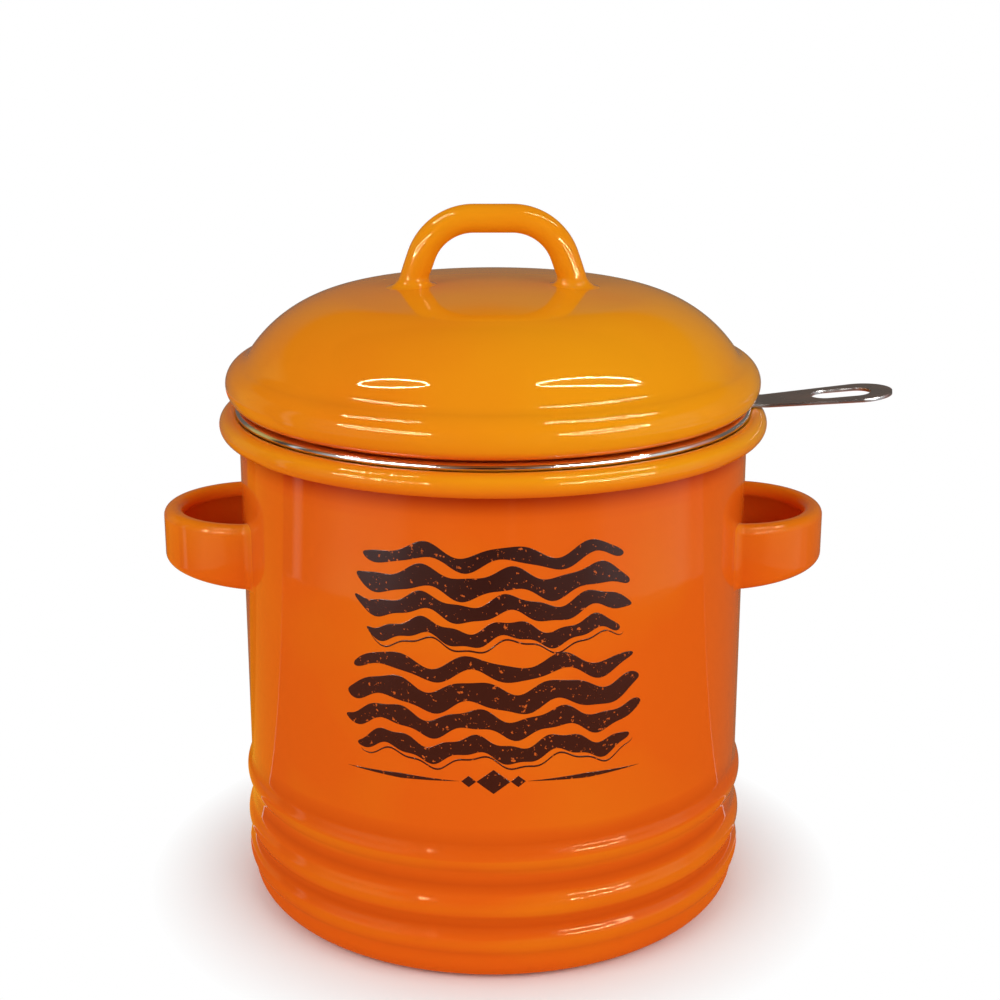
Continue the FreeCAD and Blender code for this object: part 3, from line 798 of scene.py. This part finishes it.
# Down the strap's length run stations from the tip to the end of the leg.  At each one, rows of
# points lie between the slot's edge, or the middle line, and the outer edge.
tip_turn = np.linspace(0, np.pi / 2, tip_steps)
slot_turn = np.linspace(0, np.pi / 2, slot_steps)
plan_x = np.concatenate([strap_tip - strap_tip_half * (1 - np.cos(tip_turn)),
                         slot_far + slot_half * np.cos(slot_turn),
                         np.linspace(slot_far, slot_near, slot_side_steps),
                         slot_near - slot_half * np.sin(slot_turn),
                         np.linspace(slot_near - slot_half, rim_radius, arm_steps),
                         np.linspace(rim_radius, strainer_radius + strap_bend, root_steps)])
plan_x = np.unique(np.round(plan_x, 6))[::-1]
turn_down = np.radians(np.linspace(90, 180, bend_steps + 1)[1:])
leg_z = np.linspace(strap_top - strap_bend, strap_leg_end, leg_steps + 1)[1:]
strap_x = np.concatenate([plan_x, strainer_radius + strap_bend + strap_bend * np.cos(turn_down),
                          np.full(len(leg_z), strainer_radius)])
strap_z = np.concatenate([strap_top + strap_slope * np.maximum(plan_x - rim_radius, 0),
                          strap_top - strap_bend + strap_bend * np.sin(turn_down), leg_z])
width = np.interp(strap_x, [0, rim_radius, tip_middle, strap_tip],
                  [strap_root_half, strap_root_half, strap_tip_half, strap_tip_half])
round_tip = np.sqrt(np.clip(strap_tip_half ** 2 - np.maximum(strap_x - tip_middle, 0) ** 2, 0, None))
width = np.where(strap_x > tip_middle, round_tip, width)
past_slot = np.maximum(np.maximum(strap_x - slot_far, slot_near - strap_x), 0)
gap = np.sqrt(np.clip(slot_half ** 2 - past_slot ** 2, 0, None))
share = np.linspace(0, 1, strap_rows)
half_y = gap[:, None] + (width - gap)[:, None] * share
half_strap = np.stack([strap_x[:, None] + 0 * half_y, half_y, strap_z[:, None] + 0 * half_y], -1)
hanging_strap = surface("hanging_strap", np.stack([half_strap, (half_strap * [1, -1, 1])[::-1]]),
                        around=False)
plate = hanging_strap.modifiers.new("plate", "SOLIDIFY")
plate.thickness, plate.offset, plate.use_even_offset = strap_thickness * MM, -1.0, True
rounded = hanging_strap.modifiers.new("rounded_edges", "BEVEL")
rounded.width, rounded.segments, rounded.limit_method = strap_edge * MM, 2, "ANGLE"
rounded.angle_limit = math.radians(strap_edge_angle)
hanging_strap.data.materials.append(satin_steel)
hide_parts("strainer_handle")
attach(hanging_strap, "strainer")

# The weld's knob is a shallow paraboloid: its rise falls with the square of the radius.
knob_radius, knob_rise = 1.2, 0.35
knob_rings, knob_sides = 9, 32
weld_height = 1.8
knob_height = strap_leg_end + weld_height
knob_r = np.linspace(0, knob_radius, knob_rings)[:, None]
knob_turn = np.linspace(0, 2 * np.pi, knob_sides, endpoint=False)
knob_out = knob_rise * (1 - (knob_r / knob_radius) ** 2) + strainer_radius + strap_thickness
knob_cap = np.stack([knob_out + 0 * knob_turn, knob_r * np.cos(knob_turn),
                     knob_height + knob_r * np.sin(knob_turn)], -1)
knob_back = knob_cap[-1:] * [0, 1, 1] + [strainer_radius + strap_thickness / 2, 0, 0]
knob_pole = knob_back * 0 + [strainer_radius + strap_thickness / 2, 0, knob_height]
weld_knob = surface("weld_knob", np.concatenate([knob_cap, knob_back, knob_pole]))
weld_knob.data.materials.append(satin_steel)
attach(weld_knob, "strainer")

# ---- Lid ------------------------------------------------------------------------------------
# The lid is pressed from sheet: a hemmed skirt that drops into the strainer, a fat round bead
# that sits on the flange, a narrow valley, and a full dome.  It is enamelled like the pot.
lid_clearance = 0.5
skirt_radius = strainer_inside - lid_clearance
skirt_depth = 10.3
skirt_root = 0.7
hem_radius, hem_end = 2.0, 200
lid_seat = flange_top + seat_gap
lid_inset, lid_seat_width = 1.85, 1.1
lid_radius = rim_radius - lid_inset
bead_centre_r = skirt_radius + lid_seat_width
lid_bead = lid_radius - bead_centre_r
lid_bead_z = lid_seat + lid_bead
dome_height = 23.4
dome_apex = lid_bead_z + dome_height
dome_shoulder, dome_crown, dome_neck = 33.5, 318.0, 5.0
lid_steps = 320
lid_turn, lid_span = 3.0, 1.2


def between(first, first_reach, second, second_reach):
    """The upper point at the given distances from two centres.

    The two squared distances and Pythagoras give its foot on the line between the centres and
    how far it stands off that line.
    """
    way = np.subtract(second, first)
    apart = np.linalg.norm(way)
    along = (first_reach ** 2 - second_reach ** 2 + apart ** 2) / (2 * apart)
    aside = math.sqrt(first_reach ** 2 - along ** 2)
    foot = np.asarray(first) + way / apart * along
    normal = np.array([-way[1], way[0]]) / apart
    return foot + normal * aside * (1 if normal[1] > 0 else -1)


def angle_to(start, end):
    """The direction from one point to another, in degrees."""
    return math.degrees(math.atan2(end[1] - start[1], end[0] - start[0]))


shoulder_x = lid_radius - dome_shoulder
crown_z = dome_apex - dome_crown
shoulder = (shoulder_x, crown_z + math.sqrt((dome_crown - dome_shoulder) ** 2 - shoulder_x ** 2))
neck = between((bead_centre_r, lid_bead_z), lid_bead + dome_neck, shoulder, dome_shoulder + dome_neck)
up_bead = angle_to((bead_centre_r, lid_bead_z), neck)
up_dome = angle_to(shoulder, neck)
over_dome = angle_to((0, crown_z), shoulder)
lid_path = [(skirt_radius - hem_radius, lid_seat - skirt_depth + hem_radius, hem_radius, hem_end, 360),
            (skirt_radius + skirt_root, lid_seat - skirt_root, skirt_root, 180, 90),
            (bead_centre_r, lid_bead_z, lid_bead, -90, up_bead),
            (*neck, dome_neck, up_bead + 180, up_dome + 180),
            (*shoulder, dome_shoulder, up_dome, over_dome),
            (0, crown_z, dome_crown, over_dome, 90)]
lid_outside = spread(fold(lid_path, 0.0, lid_turn, lid_span))
lid_inside = spread(fold(lid_path, sheet, lining_turn, lining_span), lining_span)[::-1]
lid_grid = spun(np.concatenate([lid_outside[::-1], lid_inside[::-1]]), lid_steps)
lid_lining = np.concatenate([np.zeros(len(lid_outside)), np.ones(len(lid_inside))])

# Painted light: the dome and the bead are painted lighter and yellower, more so on the right,
# and the skirt less so.  Painted shade in the corner between the skirt and the bead.
lid_painted_light, skirt_less_light, skirt_fade = 0.75, 0.6, 3.0
lid_painted_shade = [(lid_seat - 1.0, 1.0, 3.5)]
lid_painted_light_and_shade = lid_painted_light + painted_light_side * lid_grid[..., 0] / rim_radius
lid_painted_light_and_shade -= skirt_less_light * np.clip((lid_seat + skirt_fade - lid_grid[..., 2]) / (2 * skirt_fade), 0, 1)
outside_skirt = np.linalg.norm(lid_grid[..., :2], axis=-1) > skirt_radius - 1.0
lid_painted_light_and_shade -= light_and_shade_by_height(lid_grid, lid_painted_shade) * outside_skirt
lid_cover = surface("lid_cover", lid_grid, slots=np.minimum(lid_lining[:-1], lid_lining[1:]),
                    painted_light_and_shade=lid_painted_light_and_shade)
lid_cover.data.materials.append(orange_enamel)
lid_cover.data.materials.append(lining_enamel)
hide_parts("lid_shell")
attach(lid_cover, "lid")

# ---- Lid handle -----------------------------------------------------------------------------
# A round rod bent to an arch, its legs leaning out and swelling where they are welded to the
# dome.  The enamel fills the joint to a smooth fillet.
rod_radius = 3.5
rod_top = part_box("lid_handle")[1].z / MM - rod_radius
rod_flat, rod_bend, rod_splay = 4.7, 13.6, 19.5
foot_swell, foot_root = 2.4, 0.5
leg_step, leg_gap = 0.6, 0.1
bend_rings, fillet_rings, leg_samples = 24, 14, 400
rod_sides = 48
rod_painted_light = 0.8

# Half the rod's route: the flat, the bend and the leg, whose stations are heights above the
# dome.  In the last of them the ring grows as a quarter round, and then it closes to a point
# inside the dome's sheet.
lean = math.radians(rod_splay)
bend_turn = np.linspace(np.pi / 2, lean, bend_rings)
bend_line = np.stack([rod_flat + rod_bend * np.cos(bend_turn),
                      rod_top - rod_bend + rod_bend * np.sin(bend_turn)], -1)
leg_drop = np.linspace(0, 2 * rod_bend, leg_samples)
leg_x, leg_z = bend_line[-1, 0] + leg_drop * math.tan(lean), bend_line[-1, 1] - leg_drop
leg_rise = leg_z - crown_z - np.sqrt(dome_crown ** 2 - leg_x ** 2)
fillet = np.linspace(0, np.pi / 2, fillet_rings)
leg_stops = np.concatenate([np.arange(leg_rise[0] - leg_step, foot_swell + leg_gap, -leg_step),
                            foot_swell * (1 - np.sin(fillet)), [-foot_root, -foot_root]])
leg = np.stack([np.interp(-leg_stops, -leg_rise, leg_x),
                np.interp(-leg_stops, -leg_rise, leg_z)], -1)
half_line = np.concatenate([[[0.0, rod_top]], bend_line, leg])[..., None]
straight_rings = len(half_line) - fillet_rings - 2
reach = rod_radius + np.concatenate([np.zeros(straight_rings), foot_swell * (1 - np.cos(fillet)),
                                     [foot_swell, -rod_radius]])[:, None]

# Each ring stands square to the rod.  As it nears the dome it is laid over, until every point
# of it is the same height above the dome.
facing = np.concatenate([[np.pi / 2], bend_turn, np.full(len(leg), lean)])[:, None]
rise = np.concatenate([np.full(1 + len(bend_turn), leg_rise[0]), leg_stops])[:, None]
laid = np.clip(2 - rise / foot_swell, 0, 1)
ring_turn = np.linspace(0, 2 * np.pi, rod_sides, endpoint=False)
swing = reach * np.cos(ring_turn)
ring_x = half_line[:, 0] + swing * ((1 - laid) * np.cos(facing) + laid / math.cos(lean))
ring_y = reach * np.sin(ring_turn)
on_dome = crown_z + np.sqrt(dome_crown ** 2 - ring_x ** 2 - ring_y ** 2) + rise
ring_z = (1 - laid) * (half_line[:, 1] + swing * np.sin(facing)) + laid * on_dome
half_rings = np.stack([ring_x, ring_y, ring_z], -1)
handle_grid = np.concatenate([half_rings[:0:-1] * [-1, 1, 1], half_rings])
# The whole rod is painted lighter and yellower: painted light.
lid_loop = surface("lid_loop", handle_grid, painted_light_and_shade=np.full(handle_grid.shape[:2], rod_painted_light))
lid_loop.data.materials.append(orange_enamel)
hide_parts("lid_handle")
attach(lid_loop, "lid")
